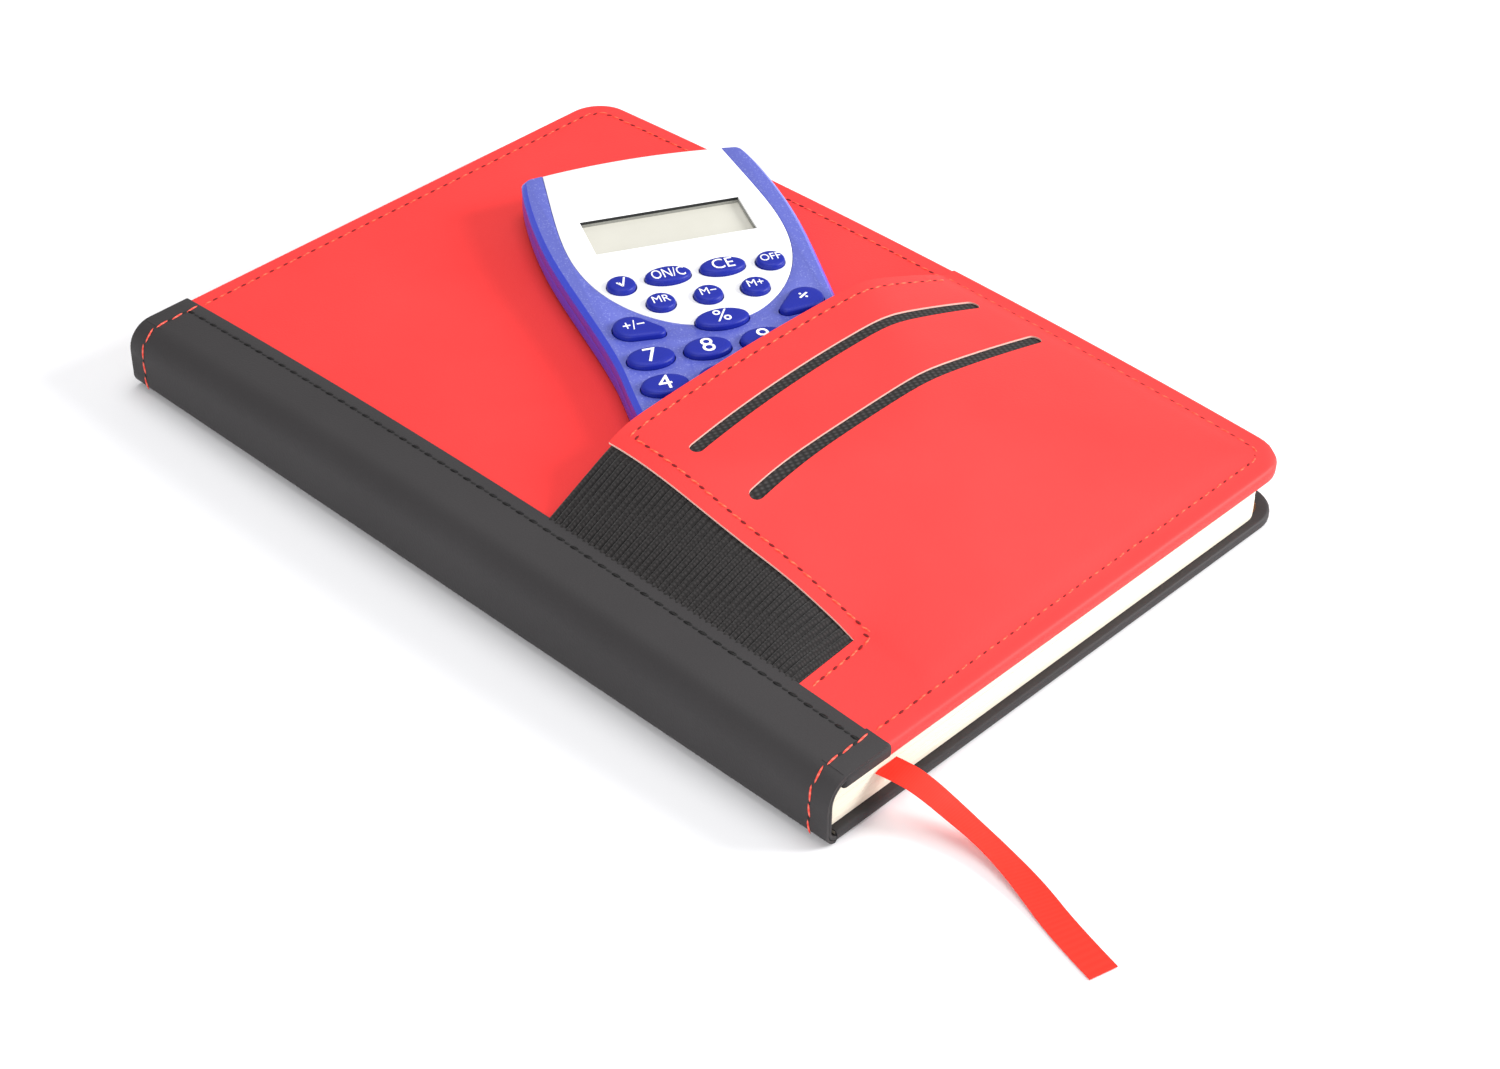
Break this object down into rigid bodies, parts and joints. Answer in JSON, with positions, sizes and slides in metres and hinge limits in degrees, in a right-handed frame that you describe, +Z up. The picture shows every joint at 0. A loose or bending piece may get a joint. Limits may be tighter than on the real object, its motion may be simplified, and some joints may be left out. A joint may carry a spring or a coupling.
{
  "type": "pocket notebook",
  "caption": "A5 hardback notebook with a black spine, a red front cover, a ribbon, and a front pocket with an elastic gusset that holds a slim calculator",
  "frame": {"origin": "under the middle of the closed notebook, on the surface that it lies on", "axes": "+X from the spine to the fore edge, +Y from the tail to the head, +Z up out of the front cover"},
  "size_m": [0.1432, 0.267, 0.0285],
  "materials": {
    "red_leather": "smooth matte",
    "black_leather": "soft matte",
    "paper_cream": "uncoated",
    "endpaper": "uncoated",
    "greyboard": "pressed",
    "gauze": "open weave",
    "foam": "closed cell",
    "ribbon": "satin weave",
    "twill": "fine twill",
    "elastic": "ribbed knit",
    "red_thread": "twisted thread",
    "black_thread": "twisted thread",
    "salmon_thread": "twisted thread",
    "pearl_blue": "pearl",
    "blue_plastic": "satin",
    "white_plastic": "satin",
    "key_blue": "satin",
    "display": "matte liquid crystal",
    "silicone": "moulded",
    "circuit_green": "solder mask",
    "steel": "plated"
  },
  "bodies": {
    "notebook": {"back_cover_skin": "black_leather", "back_board": "greyboard", "back_endpaper": "endpaper", "spine_panel": "black_leather", "spine_stiffener": "greyboard", "spine_gauze": "gauze", "page_block_back": "paper_cream", "bookmark_ribbon": "ribbon", "ribbon_between_leaves": "ribbon"},
    "front_leaves": {"page_block_front": "paper_cream"},
    "front_cover": {"front_board": "greyboard", "front_padding": "foam", "front_endpaper": "endpaper", "front_cover_skin": "red_leather", "spine_front_strip": "black_leather", "pocket_panel": "red_leather", "pocket_lining": "twill", "elastic_gusset": "elastic", "edge_stitching": "red_thread", "seam_stitching": "black_thread", "hem_stitching": "red_thread", "pocket_stitching": "salmon_thread"},
    "calculator": {"calculator_back_shell": "blue_plastic", "calculator_front_shell": "pearl_blue", "face_plate": "white_plastic", "display_glass": "display", "display_connector": "silicone", "rubber_keypad": "silicone", "circuit_board": "circuit_green", "button_cell": "steel", "battery_contacts": "steel", "shell_screws": "steel"},
    "battery_door": {"battery_door": "blue_plastic"},
    "key_root": {"key_root": "key_blue"},
    "key_on": {"key_on": "key_blue"},
    "key_clear": {"key_clear": "key_blue"},
    "key_off": {"key_off": "key_blue"},
    "key_memory_recall": {"key_memory_recall": "key_blue"},
    "key_memory_minus": {"key_memory_minus": "key_blue"},
    "key_memory_plus": {"key_memory_plus": "key_blue"},
    "key_sign": {"key_sign": "key_blue"},
    "key_percent": {"key_percent": "key_blue"},
    "key_divide": {"key_divide": "key_blue"},
    "key_7": {"key_7": "key_blue"},
    "key_8": {"key_8": "key_blue"},
    "key_9": {"key_9": "key_blue"},
    "key_multiply": {"key_multiply": "key_blue"},
    "key_4": {"key_4": "key_blue"},
    "key_5": {"key_5": "key_blue"},
    "key_6": {"key_6": "key_blue"},
    "key_minus": {"key_minus": "key_blue"},
    "key_1": {"key_1": "key_blue"},
    "key_2": {"key_2": "key_blue"},
    "key_3": {"key_3": "key_blue"},
    "key_0": {"key_0": "key_blue"},
    "key_point": {"key_point": "key_blue"},
    "key_equals": {"key_equals": "key_blue"},
    "key_plus": {"key_plus": "key_blue"}
  },
  "joints": [
    {"name": "cover_hinge", "type": "hinge", "parent": "notebook", "child": "front_cover", "pos_m": [-0.0718, 0, 0.01435], "axis": [0, -1, 0], "range_deg": [0, 180]},
    {"name": "leaves_hinge", "type": "hinge", "parent": "notebook", "child": "front_leaves", "pos_m": [-0.0718, 0, 0.01435], "axis": [0, -1, 0], "range_deg": [0, 171]},
    {"name": "calculator_slide", "type": "slide", "parent": "front_cover", "child": "calculator", "axis": [0.4679, 0.8838, 0], "range_m": [0, 0.075]},
    {"name": "battery_door_slide", "type": "slide", "parent": "calculator", "child": "battery_door", "axis": [0.4679, 0.8838, 0], "range_m": [0, 0.016]},
    {"name": "press_root", "type": "slide", "parent": "calculator", "child": "key_root", "axis": [0, 0, -1], "range_m": [0, 0.0008], "stiffness_N_per_m": 400, "springref_m": -0.0006},
    {"name": "press_on", "type": "slide", "parent": "calculator", "child": "key_on", "axis": [0, 0, -1], "range_m": [0, 0.0008], "stiffness_N_per_m": 400, "springref_m": -0.0006},
    {"name": "press_clear", "type": "slide", "parent": "calculator", "child": "key_clear", "axis": [0, 0, -1], "range_m": [0, 0.0008], "stiffness_N_per_m": 400, "springref_m": -0.0006},
    {"name": "press_off", "type": "slide", "parent": "calculator", "child": "key_off", "axis": [0, 0, -1], "range_m": [0, 0.0008], "stiffness_N_per_m": 400, "springref_m": -0.0006},
    {"name": "press_memory_recall", "type": "slide", "parent": "calculator", "child": "key_memory_recall", "axis": [0, 0, -1], "range_m": [0, 0.0008], "stiffness_N_per_m": 400, "springref_m": -0.0006},
    {"name": "press_memory_minus", "type": "slide", "parent": "calculator", "child": "key_memory_minus", "axis": [0, 0, -1], "range_m": [0, 0.0008], "stiffness_N_per_m": 400, "springref_m": -0.0006},
    {"name": "press_memory_plus", "type": "slide", "parent": "calculator", "child": "key_memory_plus", "axis": [0, 0, -1], "range_m": [0, 0.0008], "stiffness_N_per_m": 400, "springref_m": -0.0006},
    {"name": "press_sign", "type": "slide", "parent": "calculator", "child": "key_sign", "axis": [0, 0, -1], "range_m": [0, 0.0008], "stiffness_N_per_m": 400, "springref_m": -0.0006},
    {"name": "press_percent", "type": "slide", "parent": "calculator", "child": "key_percent", "axis": [0, 0, -1], "range_m": [0, 0.0008], "stiffness_N_per_m": 400, "springref_m": -0.0006},
    {"name": "press_divide", "type": "slide", "parent": "calculator", "child": "key_divide", "axis": [0, 0, -1], "range_m": [0, 0.0008], "stiffness_N_per_m": 400, "springref_m": -0.0006},
    {"name": "press_7", "type": "slide", "parent": "calculator", "child": "key_7", "axis": [0, 0, -1], "range_m": [0, 0.0008], "stiffness_N_per_m": 400, "springref_m": -0.0006},
    {"name": "press_8", "type": "slide", "parent": "calculator", "child": "key_8", "axis": [0, 0, -1], "range_m": [0, 0.0008], "stiffness_N_per_m": 400, "springref_m": -0.0006},
    {"name": "press_9", "type": "slide", "parent": "calculator", "child": "key_9", "axis": [0, 0, -1], "range_m": [0, 0.0008], "stiffness_N_per_m": 400, "springref_m": -0.0006},
    {"name": "press_multiply", "type": "slide", "parent": "calculator", "child": "key_multiply", "axis": [0, 0, -1], "range_m": [0, 0.0008], "stiffness_N_per_m": 400, "springref_m": -0.0006},
    {"name": "press_4", "type": "slide", "parent": "calculator", "child": "key_4", "axis": [0, 0, -1], "range_m": [0, 0.0008], "stiffness_N_per_m": 400, "springref_m": -0.0006},
    {"name": "press_5", "type": "slide", "parent": "calculator", "child": "key_5", "axis": [0, 0, -1], "range_m": [0, 0.0008], "stiffness_N_per_m": 400, "springref_m": -0.0006},
    {"name": "press_6", "type": "slide", "parent": "calculator", "child": "key_6", "axis": [0, 0, -1], "range_m": [0, 0.0008], "stiffness_N_per_m": 400, "springref_m": -0.0006},
    {"name": "press_minus", "type": "slide", "parent": "calculator", "child": "key_minus", "axis": [0, 0, -1], "range_m": [0, 0.0008], "stiffness_N_per_m": 400, "springref_m": -0.0006},
    {"name": "press_1", "type": "slide", "parent": "calculator", "child": "key_1", "axis": [0, 0, -1], "range_m": [0, 0.0008], "stiffness_N_per_m": 400, "springref_m": -0.0006},
    {"name": "press_2", "type": "slide", "parent": "calculator", "child": "key_2", "axis": [0, 0, -1], "range_m": [0, 0.0008], "stiffness_N_per_m": 400, "springref_m": -0.0006},
    {"name": "press_3", "type": "slide", "parent": "calculator", "child": "key_3", "axis": [0, 0, -1], "range_m": [0, 0.0008], "stiffness_N_per_m": 400, "springref_m": -0.0006},
    {"name": "press_0", "type": "slide", "parent": "calculator", "child": "key_0", "axis": [0, 0, -1], "range_m": [0, 0.0008], "stiffness_N_per_m": 400, "springref_m": -0.0006},
    {"name": "press_point", "type": "slide", "parent": "calculator", "child": "key_point", "axis": [0, 0, -1], "range_m": [0, 0.0008], "stiffness_N_per_m": 400, "springref_m": -0.0006},
    {"name": "press_equals", "type": "slide", "parent": "calculator", "child": "key_equals", "axis": [0, 0, -1], "range_m": [0, 0.0008], "stiffness_N_per_m": 400, "springref_m": -0.0006},
    {"name": "press_plus", "type": "slide", "parent": "calculator", "child": "key_plus", "axis": [0, 0, -1], "range_m": [0, 0.0008], "stiffness_N_per_m": 400, "springref_m": -0.0006}
  ],
  "couplings": [
    {"joint": "leaves_hinge", "follows": "cover_hinge", "ratio": 0.95}
  ]
}
